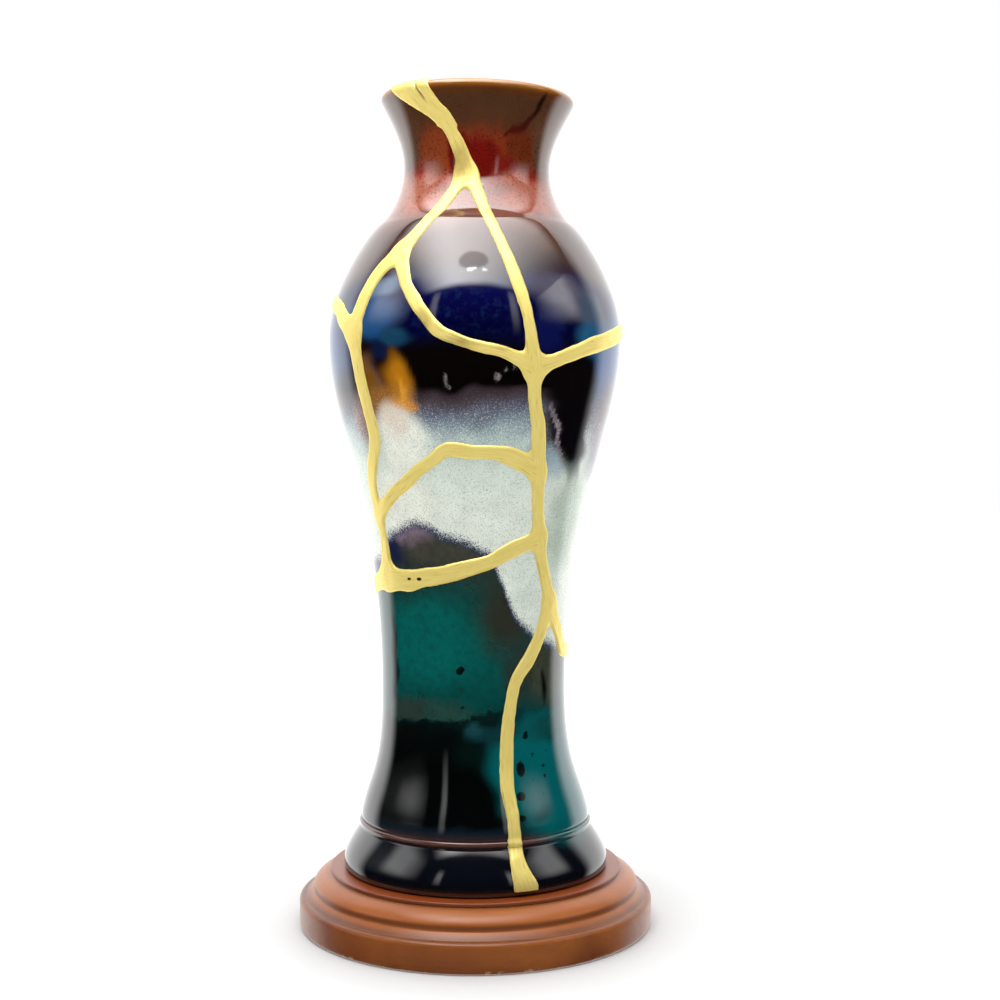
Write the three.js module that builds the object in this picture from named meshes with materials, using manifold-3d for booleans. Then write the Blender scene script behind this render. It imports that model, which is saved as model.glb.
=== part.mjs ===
// A mended vase: a hollow, glazed stoneware vase whose cracks are filled with raised gold seams,
// standing on a turned wooden plinth.
// Millimetres, +Z up. The origin is the middle of the plinth's underside and the front is -Y.
// An azimuth is in degrees from the front, growing towards +X. A slope is in degrees out of
// upright. Heights on the vase are measured from its own foot.

import * as THREE from 'three';
import { mergeVertices } from 'three/addons/utils/BufferGeometryUtils.js';
import Module from 'manifold-3d';

// Foot of the vase: a ring under a flaring band, with a bead over the band
const FOOT_RADIUS = 47.4;
const FOOT_CHAMFER = 1.5;
const FOOT_UPRIGHT = 1.6;
const FOOT_RING_WIDTH = 7;
const FOOT_RECESS = 3;
const BAND_RISE = 12.6;
const BAND_IN = 6.5;
const BAND_SLOPE = 36;
const BEAD_ROUND = 0.9;

// Wall of the vase: the radius of each station and the rise to it from the one below. The skirt
// starts this far out of the band's top.
const SKIRT_OUT = 0.2;
const HEM_RISE = 5.4;
const HEM_IN = 0.9;
const HEM_SLOPE = 14;
const WAIST_RISE = 41.1;
const WAIST_RADIUS = 33;
const BELLY_RISE = 125.5;
const BELLY_RADIUS = 52.2;
const SHOULDER_RISE = 39.5;
const SHOULDER_RADIUS = 35;
const SHOULDER_SLOPE = 50;
const NECK_RISE = 20.9;
const NECK_RADIUS = 26;
const LIP_RISE = 25.5;
const LIP_RADIUS = 34.4;
const LIP_SLOPE = 26;
const WALL = 4;
const FLOOR = 6;
const INNER_CORNER = 8;

// Plinth, from its top down: how far each moulding stands out from the one above, and its height
const LEDGE_OUT = 5;
const CAP_HEIGHT = 1.3;
const CAP_UNDERCUT = 0.5;
const OGEE_OUT = 5.9;
const OGEE_HEIGHT = 4.2;
const OGEE_FULLNESS = 0.7;
const STEP_HEIGHT = 2.2;
const BEVEL_OUT = 2.9;
const BEVEL_HEIGHT = 2.2;
const ROUND_OUT = 2.3;
const ROUND_HEIGHT = 1.8;
const BASE_HEIGHT = 8.8;

// Gold: the usual width of a seam, how proud of the glaze it stands, how deep it lies in it, and
// its gap to the ceramic
const SEAM_WIDTH = 5;
const GOLD_PROUD = 0.6;
const GOLD_DEPTH = 0.7;
const GOLD_GAP = 0.3;

// Facets: the sides of the turned pieces, and how far a facet may leave the true curve
const VASE_SIDES = 32;
const PLINTH_SIDES = 40;
const OUTER_ERROR = 0.28;
const LINING_ERROR = 0.9;
const GOLD_ERROR = 0.2;

// How far the solids that cut the gold's channels reach out of the glaze
const CUTTER_REACH = 2;

// The cracks. A place on the vase is [azimuth, tape, width]: the tape is in hundredths of the
// wall's own length, from the foot's edge (0) up the outside to the lip's middle (100), and
// beyond that down the inside. The width of the gold there is a share of the usual width.
const FOOT_FORK = [50, 34.2, 1.1];
const LOWER_RIGHT = [37, 42.2, 1.1];
const LEFT_CORNER = [-56, 37.2, 1.6];
const ARCH_RIGHT = [31, 50.2, 1.1];
const ARCH_LEFT = [-55.5, 44.6, 0.9];
const RIGHT_NODE = [23.5, 62.7, 1.1];
const LEFT_NODE = [-51, 67, 1.4];
const SHOULDER_FORK = [-34, 77.2, 1.2];
const NECK_FORK = [-7, 88.4, 1.2];
const BACK_UPPER = [-168, 69.8, 0.96];
const BACK_LOWER = [-188, 33, 1];

// The same place reached by going round the back
const fromBehind = ([azimuth, tape, width]) => [azimuth - 360, tape, width];

const CRACKS = [
  // Up the neck to the patch on the lip
  [NECK_FORK, [-9.5, 90.2, 1.1], [-13, 91.8, 1], [-17, 93.2, 0.9], [-22.5, 94.9, 0.84]],
  // The two branches down the shoulder, and the cross seam between them
  [NECK_FORK, [-1.5, 87.3, 1], [4, 84.6, 0.88], [8.5, 81.2, 0.8], [12.5, 77.8, 0.8],
    [15.5, 74.8, 0.86], [18.5, 71.3, 0.92], [21, 67.7, 0.8], RIGHT_NODE],
  [NECK_FORK, [-12, 87.2, 0.94], [-17.5, 85.3, 0.96], [-23, 82.9, 0.96], [-28, 80, 1],
    SHOULDER_FORK, [-42, 74.4, 1.2], [-46, 72, 1.2], LEFT_NODE],
  [SHOULDER_FORK, [-27.5, 72.9, 0.88], [-22.5, 70.6, 0.92], [-18, 68.8, 0.86], [-12, 66.8, 0.9],
    [-4, 65.7, 0.72], [3.5, 65, 0.76], [12, 64.4, 0.82], RIGHT_NODE],
  // The two long seams down the front, and the arch and the lower seam between them
  [LEFT_NODE, [-49, 63.1, 1.16], [-48, 60.2, 1.16], [-47, 57.7, 1.1], [-46, 54.8, 1.16],
    [-49.5, 52.4, 1.1], [-54.5, 49.8, 1.04], [-56, 47.4, 1], ARCH_LEFT, [-54.5, 42, 0.84], LEFT_CORNER],
  [RIGHT_NODE, [25, 58.8, 0.94], [28, 55.5, 1.1], ARCH_RIGHT, [33.5, 46.2, 0.96], LOWER_RIGHT,
    [40, 39.6, 1], FOOT_FORK],
  [ARCH_LEFT, [-42.5, 47.3, 0.92], [-33.5, 48.8, 0.96], [-26.5, 50.2, 0.88], [-18, 51.7, 0.84],
    [-11, 53, 1], [-0.5, 52.8, 1], [8.5, 52.7, 0.94], [18, 52.1, 1.3], ARCH_RIGHT],
  [LEFT_CORNER, [-40, 37, 1.56], [-27, 37.5, 1.3], [-14, 38, 1.24], [-3, 38.7, 1.16],
    [9.5, 39.5, 1], [21, 40.9, 1.16], LOWER_RIGHT],
  [FOOT_FORK, [43.5, 30.2, 1.06], [36.5, 27.6, 1.1], [28.5, 25.5, 0.96], [24.5, 23, 0.88],
    [20.5, 17.4, 0.98], [19, 12.5, 1], [20, 9, 0.92], [20, 5.9, 0.96], [20, 3, 1.2], [22, 0.4, 1.8]],
  // Round the back
  [LEFT_NODE, [-60, 68.9, 1.3], [-68, 70.4, 1.1], [-90, 71.6, 1], [-115, 69.2, 0.92],
    [-142, 68, 0.92], BACK_UPPER, [-195, 67.4, 0.92], [-222, 70.4, 0.96], [-258, 68.6, 1],
    [-284, 67.3, 1.2], [-304, 65.9, 1.18], [-314, 65.1, 1.1], [-324, 64, 0.96], fromBehind(RIGHT_NODE)],
  [LEFT_CORNER, [-70, 36.4, 1.3], [-88, 35.4, 1.2], [-115, 33, 1], [-150, 35, 0.92], BACK_LOWER,
    [-215, 31.2, 0.96], [-248, 28, 1], [-286, 27.8, 1.06], [-298, 30.4, 1.12], fromBehind(FOOT_FORK)],
  [BACK_UPPER, [-171, 61, 0.88], [-184, 52, 0.92], [-179, 42, 0.88], BACK_LOWER],
];

// The gold patch that goes on from there over the lip and widens. Its widths are level.
const LIP_PATCH = [
  [-20.5, 94.5, 1.04], [-26.6, 95.7, 1.76], [-33.7, 97, 2.48], [-40.5, 98.5, 3.28],
  [-45, 99.8, 3.76], [-46, 101.2, 3.7], [-46, 102.8, 3.2],
];

const radians = THREE.MathUtils.degToRad;
const slopeVector = (slope) => new THREE.Vector2(Math.sin(radians(slope)), Math.cos(radians(slope)));

const wasm = await Module();
wasm.setup();

// Radii of the band's top and of the skirt over it, and the stations' heights above the foot
const bandRadius = FOOT_RADIUS - BAND_IN;
const skirtRadius = bandRadius + SKIRT_OUT;
const bandTop = FOOT_CHAMFER + FOOT_UPRIGHT + BAND_RISE;
const hemBottom = bandTop + 2 * BEAD_ROUND;
const hemTop = hemBottom + HEM_RISE;
const waist = hemTop + WAIST_RISE;
const belly = waist + BELLY_RISE;
const shoulder = belly + SHOULDER_RISE;
const neck = shoulder + NECK_RISE;
const vaseTop = neck + LIP_RISE;
const vaseFloor = FOOT_RECESS + FLOOR;
const plinthHeight =
  BASE_HEIGHT + ROUND_HEIGHT + BEVEL_HEIGHT + STEP_HEIGHT + OGEE_HEIGHT + CAP_HEIGHT;

// The lip is a full round of the wall's thickness, square to the wall's slope there
const lipRound = WALL / 2;
const lipCentre = new THREE.Vector2(LIP_RADIUS - lipRound, vaseTop - lipRound);
const lipAcross = new THREE.Vector2(Math.cos(radians(LIP_SLOPE)), -Math.sin(radians(LIP_SLOPE)));
const lipJoin = lipCentre.clone().addScaledVector(lipAcross, lipRound);

// Stations of the wall. The wall keeps a station's slope for a share of the rise: below is the
// share of the stretch under the station, above is the share of the one over it.
const STATIONS = [
  { radius: skirtRadius - HEM_IN, height: hemTop, slope: -HEM_SLOPE, below: 0.2, above: 0.25 },
  { radius: WAIST_RADIUS, height: waist, slope: 0, below: 0.64, above: 0.54 },
  { radius: BELLY_RADIUS, height: belly, slope: 0, below: 0.25, above: 0.41 },
  { radius: SHOULDER_RADIUS, height: shoulder, slope: -SHOULDER_SLOPE, below: 0.13, above: 0.3 },
  { radius: NECK_RADIUS, height: neck, slope: 0, below: 0.4, above: 0.4 },
  { radius: lipJoin.x, height: lipJoin.y, slope: LIP_SLOPE, below: 0.24, above: 0 },
];

// A station moved in through the wall, square to its slope
function inset(station, thickness) {
  const along = slopeVector(station.slope);
  return {
    ...station,
    radius: station.radius - thickness * along.y,
    height: station.height + thickness * along.x,
  };
}

// The two inner control points of the cubic between two stations, the lower one first
function controls(low, high) {
  const rise = high.height - low.height;
  const leave = slopeVector(low.slope).multiplyScalar(low.above * rise);
  const arrive = slopeVector(high.slope).multiplyScalar(high.below * rise);
  return [
    new THREE.Vector2(low.radius, low.height).add(leave),
    new THREE.Vector2(high.radius, high.height).sub(arrive),
  ];
}

// The outside's meridian as [radius, height], from the foot's edge up and over the lip. The gold
// runs smoothly over the bead, so its own meridian is drawn without it.
function outsidePath(withBead) {
  const path = new THREE.Path();
  const foot = { radius: FOOT_RADIUS, height: FOOT_CHAMFER + FOOT_UPRIGHT, slope: 0, above: 0.27 };
  const band = { radius: bandRadius, height: bandTop, slope: -BAND_SLOPE, below: 0.4 };
  const hem = { radius: skirtRadius, height: hemBottom, slope: 0, above: 0.5 };
  const upTo = (low, high) => {
    const [first, second] = controls(low, high);
    path.bezierCurveTo(first.x, first.y, second.x, second.y, high.radius, high.height);
  };
  path.moveTo(foot.radius, FOOT_CHAMFER);
  path.lineTo(foot.radius, foot.height);
  upTo(foot, band);
  if (withBead) {
    path.absarc(band.radius, bandTop + BEAD_ROUND, BEAD_ROUND, -Math.PI / 2, Math.PI / 2, false);
  }
  path.lineTo(hem.radius, hem.height);
  [hem, ...STATIONS].reduce((low, high) => {
    upTo(low, high);
    return high;
  });
  const slope = radians(LIP_SLOPE);
  path.absarc(lipCentre.x, lipCentre.y, lipRound, -slope, Math.PI - slope, false);
  return path;
}

// The lining's meridian, from inside the lip down to the middle of the floor
function liningPath() {
  const path = new THREE.Path();
  const stations = STATIONS.map((station) => inset(station, WALL));
  const downTo = (high, low) => {
    const [first, second] = controls(low, high);
    path.bezierCurveTo(second.x, second.y, first.x, first.y, low.radius, low.height);
    return low;
  };
  const lip = stations[stations.length - 1];
  path.moveTo(lip.radius, lip.height);
  const lowest = stations.reverse().reduce(downTo);
  const cornerHeight = vaseFloor + INNER_CORNER;
  path.lineTo(lowest.radius, cornerHeight);
  path.absarc(lowest.radius - INNER_CORNER, cornerHeight, INNER_CORNER, 0, -Math.PI / 2, true);
  path.lineTo(0, vaseFloor);
  return path;
}

// The fewest facets that keep within the error of an arc of this length and turning
function facetCount(length, turning, error) {
  return Math.max(1, Math.ceil(Math.sqrt((length * turning) / (8 * error))));
}

function facetPoints(curve, error) {
  const samples = 16;
  let turning = 0;
  for (let i = 1; i <= samples; i += 1) {
    turning += curve.getTangent((i - 1) / samples).angleTo(curve.getTangent(i / samples));
  }
  return curve.getSpacedPoints(facetCount(curve.getLength(), turning, error));
}

const pathPoints = (path, error) => path.curves.flatMap((curve) => facetPoints(curve, error).slice(1));

// Turns a profile of [radius, height] points about the upright axis, azimuth 0 at -Y
function turned(points, sides) {
  return new THREE.LatheGeometry(points, sides).rotateX(Math.PI / 2);
}

// A closed solid from a geometry: shared vertices are merged, and the flat triangles that a
// lathe leaves at its axis are dropped
function solidFrom(geometry) {
  geometry.deleteAttribute('normal');
  geometry.deleteAttribute('uv');
  const merged = mergeVertices(geometry);
  const index = Array.from(merged.index.array);
  const kept = [];
  for (let i = 0; i < index.length; i += 3) {
    const [a, b, c] = index.slice(i, i + 3);
    if (a !== b && b !== c && c !== a) kept.push(a, b, c);
  }
  const vertProperties = new Float32Array(merged.attributes.position.array);
  return new wasm.Manifold(new wasm.Mesh({ numProp: 3, vertProperties, triVerts: new Uint32Array(kept) }));
}

function geometryFrom(solid) {
  const mesh = solid.getMesh();
  const geometry = new THREE.BufferGeometry();
  geometry.setAttribute('position', new THREE.BufferAttribute(new Float32Array(mesh.vertProperties), 3));
  geometry.setIndex(new THREE.BufferAttribute(new Uint32Array(mesh.triVerts), 1));
  geometry.computeVertexNormals();
  return geometry;
}

// The meridian that the gold follows, over the lip and on down the lining
const goldPath = new THREE.CurvePath();
goldPath.curves = [...outsidePath(false).curves, ...liningPath().curves];
const goldPathLength = goldPath.getLength();
const halfLip = (Math.PI * lipRound) / 2;
const millimetresPerTape = (outsidePath(false).getLength() - halfLip) / 100;

function onMeridian(tape) {
  const t = THREE.MathUtils.clamp((tape * millimetresPerTape) / goldPathLength, 0, 1);
  const tangent = goldPath.getTangent(t);
  return { point: goldPath.getPoint(t), normal: new THREE.Vector2(tangent.y, -tangent.x) };
}

// The point at a place on the glaze, moved straight out of it by a height
function onGlaze(azimuth, tape, height) {
  const { point, normal } = onMeridian(tape);
  point.addScaledVector(normal, height);
  const angle = radians(azimuth);
  return new THREE.Vector3(point.x * Math.sin(angle), -point.x * Math.cos(angle), point.y);
}

// How far the glaze turns between two places on it
function turning(from, to) {
  const outOf = ([azimuth, tape]) => onGlaze(azimuth, tape, 1).sub(onGlaze(azimuth, tape, 0));
  return outOf(from).angleTo(outOf(to));
}

// The stops along a crack, closer together where the wall turns. Each has its place, and the
// degrees and the tape that one millimetre spans there.
function stopsAlong(places) {
  const route = new THREE.CatmullRomCurve3(places.map((place) => new THREE.Vector3(...place)));
  const legs = places.length - 1;
  const marks = places.slice(1).flatMap((to, leg) => {
    const from = places[leg];
    const straight = onGlaze(from[0], from[1], 0).distanceTo(onGlaze(to[0], to[1], 0));
    const length = Math.max(straight, Math.abs(to[1] - from[1]) * millimetresPerTape);
    const count = facetCount(length, turning(from, to), GOLD_ERROR);
    return Array.from({ length: count }, (_, k) => (leg + k / count) / legs);
  });
  return [...marks, 1].map((t) => {
    const { x: azimuth, y: tape, z: share } = route.getPoint(t);
    const width = share * SEAM_WIDTH;
    const degrees = THREE.MathUtils.radToDeg(1 / onMeridian(tape).point.x);
    return { azimuth, tape, width, span: new THREE.Vector2(degrees, 1 / millimetresPerTape) };
  });
}

// The place so far to the side of a stop and so far ahead of it along the glaze
function besideStop({ azimuth, tape, span, forward }, aside, ahead) {
  return [
    azimuth + (forward.x * ahead - forward.y * aside) * span.x,
    tape + (forward.y * ahead + forward.x * aside) * span.y,
  ];
}

// A bar of gold bent along a crack, from its depth under the glaze to its height over it. Its
// widths are square to the crack, or level. The margin makes it wider, longer and deeper, for
// the channel that it lies in.
function bar(places, level, proud, margin) {
  const stops = stopsAlong(places);
  stops.forEach((stop, i) => {
    const before = stops[Math.max(i - 1, 0)];
    const after = stops[Math.min(i + 1, stops.length - 1)];
    const travel = new THREE.Vector2(after.azimuth - before.azimuth, after.tape - before.tape);
    stop.forward = level ? new THREE.Vector2(0, 1) : travel.divide(stop.span).normalize();
    stop.lead = margin * (Number(after === stop) - Number(before === stop));
  });

  const legs = stops.length - 1;
  const columns = Math.max(...stops.map((stop) => {
    const sides = [besideStop(stop, -stop.width / 2, 0), besideStop(stop, stop.width / 2, 0)];
    return facetCount(stop.width, turning(...sides), GOLD_ERROR);
  }));
  const box = new THREE.BoxGeometry(1, 1, legs, columns, 1, legs).translate(0, 0, legs / 2);
  const corners = box.attributes.position;
  for (let i = 0; i < corners.count; i += 1) {
    const stop = stops[Math.round(corners.getZ(i))];
    const aside = corners.getX(i) * (stop.width + 2 * margin);
    const height = corners.getY(i) > 0 ? proud : -GOLD_DEPTH - margin;
    const corner = onGlaze(...besideStop(stop, aside, stop.lead), height);
    corners.setXYZ(i, corner.x, corner.y, corner.z);
  }
  return solidFrom(box);
}

function network(proud, margin) {
  const seams = CRACKS.map((places) => bar(places, false, proud, margin));
  return seams.reduce((joined, seam) => joined.add(seam), bar(LIP_PATCH, true, proud, margin));
}

function vaseBody() {
  const ringInside = FOOT_RADIUS - FOOT_CHAMFER - FOOT_RING_WIDTH;
  const profile = [
    new THREE.Vector2(0, FOOT_RECESS),
    new THREE.Vector2(ringInside, FOOT_RECESS),
    new THREE.Vector2(ringInside, 0),
    new THREE.Vector2(FOOT_RADIUS - FOOT_CHAMFER, 0),
    new THREE.Vector2(FOOT_RADIUS, FOOT_CHAMFER),
    ...pathPoints(outsidePath(true), OUTER_ERROR),
    ...pathPoints(liningPath(), LINING_ERROR),
  ];
  return solidFrom(turned(profile, VASE_SIDES)).subtract(network(CUTTER_REACH, GOLD_GAP));
}

function goldSeams() {
  return network(GOLD_PROUD, 0);
}

function woodPlinth() {
  const capRadius = FOOT_RADIUS + LEDGE_OUT;
  const stepRadius = capRadius + OGEE_OUT;
  const bevelRadius = stepRadius + BEVEL_OUT;
  const baseRadius = bevelRadius + ROUND_OUT;
  const bevelBottom = BASE_HEIGHT + ROUND_HEIGHT;
  const stepBottom = bevelBottom + BEVEL_HEIGHT;
  const ogeeBottom = stepBottom + STEP_HEIGHT;
  const ogeeTop = ogeeBottom + OGEE_HEIGHT;
  const path = new THREE.Path();
  path.moveTo(0, 0);
  path.lineTo(baseRadius, 0);
  path.lineTo(baseRadius, BASE_HEIGHT);
  path.quadraticCurveTo(baseRadius, bevelBottom, bevelRadius, bevelBottom);
  path.lineTo(stepRadius, stepBottom);
  path.lineTo(stepRadius, ogeeBottom);
  path.quadraticCurveTo(
    capRadius + OGEE_OUT * OGEE_FULLNESS,
    ogeeBottom + OGEE_HEIGHT * OGEE_FULLNESS,
    capRadius - CAP_UNDERCUT,
    ogeeTop,
  );
  path.lineTo(capRadius, ogeeTop);
  path.lineTo(capRadius, plinthHeight);
  path.lineTo(0, plinthHeight);
  return solidFrom(turned([new THREE.Vector2(0, 0), ...pathPoints(path, OUTER_ERROR)], PLINTH_SIDES));
}

const ceramic = new THREE.MeshStandardMaterial({ color: 0x1f4a52, roughness: 0.12, metalness: 0 });
const gold = new THREE.MeshStandardMaterial({ color: 0xe3c765, roughness: 0.28, metalness: 1 });
const wood = new THREE.MeshStandardMaterial({ color: 0x8a4b2c, roughness: 0.45, metalness: 0 });

function piece(name, solid, material, height) {
  const mesh = new THREE.Mesh(geometryFrom(solid), material);
  mesh.name = name;
  mesh.position.z = height;
  return mesh;
}

const vase = new THREE.Group();
vase.add(
  piece('wood_plinth', woodPlinth(), wood, 0),
  piece('vase_body', vaseBody(), ceramic, plinthHeight),
  piece('gold_seams', goldSeams(), gold, plinthHeight),
);

export default vase;
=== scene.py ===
"""A mended stoneware vase on a turned plinth: the finish of the CAD parts.

Lengths are millimetres until a mesh is made, which turns them to metres. +Z is up, the front is -Y.
An azimuth is in degrees from the front, growing towards +X.
"""
import functools
import math

import bpy
import numpy as np
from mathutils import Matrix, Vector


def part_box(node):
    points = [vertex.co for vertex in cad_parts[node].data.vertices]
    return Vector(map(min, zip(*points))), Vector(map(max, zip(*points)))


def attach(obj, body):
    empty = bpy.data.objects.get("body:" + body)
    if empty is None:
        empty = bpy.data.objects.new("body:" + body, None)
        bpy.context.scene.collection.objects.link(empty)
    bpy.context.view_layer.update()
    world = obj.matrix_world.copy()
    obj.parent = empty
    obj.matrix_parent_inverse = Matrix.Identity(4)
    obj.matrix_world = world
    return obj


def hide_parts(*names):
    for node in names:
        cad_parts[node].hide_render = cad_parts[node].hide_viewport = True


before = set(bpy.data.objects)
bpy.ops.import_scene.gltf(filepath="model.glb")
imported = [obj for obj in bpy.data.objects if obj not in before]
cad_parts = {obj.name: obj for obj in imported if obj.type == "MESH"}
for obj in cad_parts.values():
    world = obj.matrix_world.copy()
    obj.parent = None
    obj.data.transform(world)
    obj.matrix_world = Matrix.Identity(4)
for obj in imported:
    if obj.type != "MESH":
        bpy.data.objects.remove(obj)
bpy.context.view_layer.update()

MM = 0.001
PLINTH_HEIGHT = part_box("wood_plinth")[1][2] / MM
PLINTH_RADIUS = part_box("wood_plinth")[1][0] / MM

# The vase's own sizes, as its solid has them
FOOT_RADIUS = 47.4
FOOT_ROUND = 1.5
FOOT_UPRIGHT = 1.6
RING_INSIDE = 38.9
FOOT_RECESS = 3.0
BAND_TOP = 15.7
BAND_RADIUS = 40.9
BAND_SLOPE = 36
BEAD_ROUND = 0.9
SKIRT_RADIUS = 41.1
WALL = 4.0
FLOOR_TOP = 9.0
INNER_CORNER = 8.0
LIP_RADIUS = 34.4
LIP_SLOPE = 26
VASE_TOP = 275.4

# Stations of the wall: radius, height over the foot, slope out of upright, and the shares of the
# stretch below and of the stretch above for which that slope holds
STATIONS = [
    (40.2, 22.9, -14, 0.2, 0.25),
    (33.0, 64.0, 0, 0.64, 0.54),
    (52.2, 189.5, 0, 0.25, 0.41),
    (35.0, 229.0, -50, 0.13, 0.3),
    (26.0, 249.9, 0, 0.4, 0.4),
]

# The thrower's hand: how far the axis drifts sideways at a height, and the lip's tilt
DRIFT = [(0, 0.0), (64, -0.8), (190, -0.2), (275, 0.8)]
LIP_TILT = 1.2
LIP_SETTLE = 0.65
TILT_FROM = 215

# Gold: its usual width, its height over the glaze, how round its edge is, how deep it is bedded and how
# far the corners between two seams fill up
SEAM_WIDTH = 5.0
GOLD_PROUD = 0.6
GOLD_SHOULDER = 0.5
GOLD_BED = 0.9
WEB = 3.6
# Its brushed edge and its low swells: length and height of the waves in mm, and the seed of their draw
EDGE_RIPPLES = ((8, 0.12, 3), (2.6, 0.06, 4))
SWELLS = ((9, 0.07, 5), (3.2, 0.035, 6))
# Where the patch's two strokes part: a groove, a ridge at its left, and how much over the usual height
# the gold may crest there
GROOVE_DEPTH, GROOVE_REACH = 0.6, 0.7
RIDGE_HEIGHT, RIDGE_LEFT, RIDGE_REACH = 0.34, 3.0, 1.9
CREST_SPARE = 0.12
# The grid that its field is worked out on: its step in mm, and the tapes where it starts and ends
GRID_STEP = 0.42
GRID_START, GRID_END = 0.15, 103.4
GRID_RADIUS = 45
FAR = 99.0
WALL_RADIUS = 42.0

# The cracks as places [azimuth, tape, width]: the tape is in hundredths of the wall's length from
# the foot's edge to the middle of the lip, the width a share of the usual seam
FOOT_FORK = [50, 34.2, 1.1]
LOWER_RIGHT = [37, 42.2, 1.1]
LEFT_CORNER = [-56, 37.2, 1.6]
ARCH_RIGHT = [31, 50.2, 1.1]
ARCH_LEFT = [-55.5, 44.6, 0.9]
RIGHT_NODE = [23.5, 62.7, 1.1]
LEFT_NODE = [-51, 67, 1.4]
SHOULDER_FORK = [-34, 77.2, 1.2]
NECK_FORK = [-7, 88.4, 1.2]
BACK_UPPER = [-168, 69.8, 0.96]
BACK_LOWER = [-188, 33, 1]


def from_behind(place):
    """The same place reached by going round the back."""
    return [place[0] - 360, *place[1:]]


CRACKS = [
    # Up the neck to the patch on the lip
    [NECK_FORK, [-9.5, 90.2, 1.1], [-13, 91.8, 1], [-17, 93.2, 0.9], [-22.5, 94.9, 0.84]],
    # The two branches down the shoulder, and the cross seam between them
    [
        NECK_FORK, [-1.5, 87.3, 1], [4, 84.6, 0.88], [8.5, 81.2, 0.8], [12.5, 77.8, 0.8],
        [15.5, 74.8, 0.86], [18.5, 71.3, 0.92], [21, 67.7, 0.8], RIGHT_NODE,
    ],
    [
        NECK_FORK, [-12, 87.2, 0.94], [-17.5, 85.3, 0.96], [-23, 82.9, 0.96], [-28, 80, 1],
        SHOULDER_FORK, [-42, 74.4, 1.2], [-46, 72, 1.2], LEFT_NODE,
    ],
    [
        SHOULDER_FORK, [-27.5, 72.9, 0.88], [-22.5, 70.6, 0.92], [-18, 68.8, 0.86], [-12, 66.8, 0.9],
        [-4, 65.7, 0.72], [3.5, 65, 0.76], [12, 64.4, 0.82], RIGHT_NODE,
    ],
    # The two long seams down the front, and the arch and the lower seam between them
    [
        LEFT_NODE, [-49, 63.1, 1.16], [-48, 60.2, 1.16], [-47, 57.7, 1.1], [-46, 54.8, 1.16],
        [-49.5, 52.4, 1.1], [-54.5, 49.8, 1.04], [-56, 47.4, 1], ARCH_LEFT, [-54.5, 42, 0.84],
        LEFT_CORNER,
    ],
    [
        RIGHT_NODE, [25, 58.8, 0.94], [28, 55.5, 1.1], ARCH_RIGHT, [33.5, 46.2, 0.96], LOWER_RIGHT,
        [40, 39.6, 1], FOOT_FORK,
    ],
    [
        ARCH_LEFT, [-42.5, 47.3, 0.92], [-33.5, 48.8, 0.96], [-26.5, 50.2, 0.88], [-18, 51.7, 0.84],
        [-11, 53, 1], [-0.5, 52.8, 1], [8.5, 52.7, 0.94], [18, 52.1, 1.3], ARCH_RIGHT,
    ],
    [
        LEFT_CORNER, [-40, 37, 1.56], [-27, 37.5, 1.3], [-14, 38, 1.24], [-3, 38.7, 1.16],
        [9.5, 39.5, 1], [21, 40.9, 1.16], LOWER_RIGHT,
    ],
    [
        FOOT_FORK, [43.5, 30.2, 1.06], [36.5, 27.6, 1.1], [28.5, 25.5, 0.96], [24.5, 23, 0.88],
        [20.5, 17.4, 0.98], [19, 12.5, 1], [20, 9, 0.92], [20, 5.9, 0.96], [20, 3, 1.2], [22, 0.4, 1.8],
    ],
    # Round the back
    [
        LEFT_NODE, [-60, 68.9, 1.3], [-68, 70.4, 1.1], [-90, 71.6, 1], [-115, 69.2, 0.92],
        [-142, 68, 0.92], BACK_UPPER, [-195, 67.4, 0.92], [-222, 70.4, 0.96], [-258, 68.6, 1],
        [-284, 67.3, 1.2], [-304, 65.9, 1.18], [-314, 65.1, 1.1], [-324, 64, 0.96],
        from_behind(RIGHT_NODE),
    ],
    [
        LEFT_CORNER, [-70, 36.4, 1.3], [-88, 35.4, 1.2], [-115, 33, 1], [-150, 35, 0.92], BACK_LOWER,
        [-215, 31.2, 0.96], [-248, 28, 1], [-286, 27.8, 1.06], [-298, 30.4, 1.12],
        from_behind(FOOT_FORK),
    ],
    [BACK_UPPER, [-171, 61, 0.88], [-184, 52, 0.92], [-179, 42, 0.88], BACK_LOWER],
]

# The gold patch over the lip, its widths level: it is two strokes that part at the lip
LIP_PATCH = [
    [-20.5, 94.5, 1.04], [-26.6, 95.7, 1.76], [-33.7, 97, 2.48], [-40.5, 98.5, 3.28],
    [-45, 99.8, 3.76], [-46, 101.2, 3.7], [-46, 102.8, 3.2],
]
# Olive patches painted where the gold mirrors the dark room, a painted reflection: azimuth, height, half
# width, half height
GOLD_PAINTED_REFLECTIONS = [
    (-11, 268, 5, 9), (-4, 206, 9, 3), (-18, 213, 4, 5), (-38, 161, 3, 3), (12, 205, 5, 2.5),
    (8, 122, 8, 1.5),
]
STROKE_PARTING = [[-30.5, 96.7], [-34, 98.2], [-38, 99.8], [-40, 101.2]]


def smooth(share):
    """0 below 0, 1 above 1, and the cubic 3t^2 - 2t^3 between them."""
    share = np.clip(share, 0, 1)
    return share * share * (3 - 2 * share)


def ripple(azimuth, height, size, seed):
    """Eight sine waves round and up the wall, each about as long as size in mm, adding up to -1 to 1."""
    draw = np.random.default_rng(seed)
    girth = 2 * np.pi * WALL_RADIUS
    total = 0
    for _ in range(8):
        turn, phase = draw.uniform(0, 2 * np.pi, 2)
        length = size * draw.uniform(0.7, 1.6)
        around = round(math.cos(turn) * girth / length)
        total = total + np.sin(around * azimuth + 2 * np.pi * math.sin(turn) * height / length + phase)
    return total / 4


# Profiles, as arrays of [radius, height] points

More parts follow.
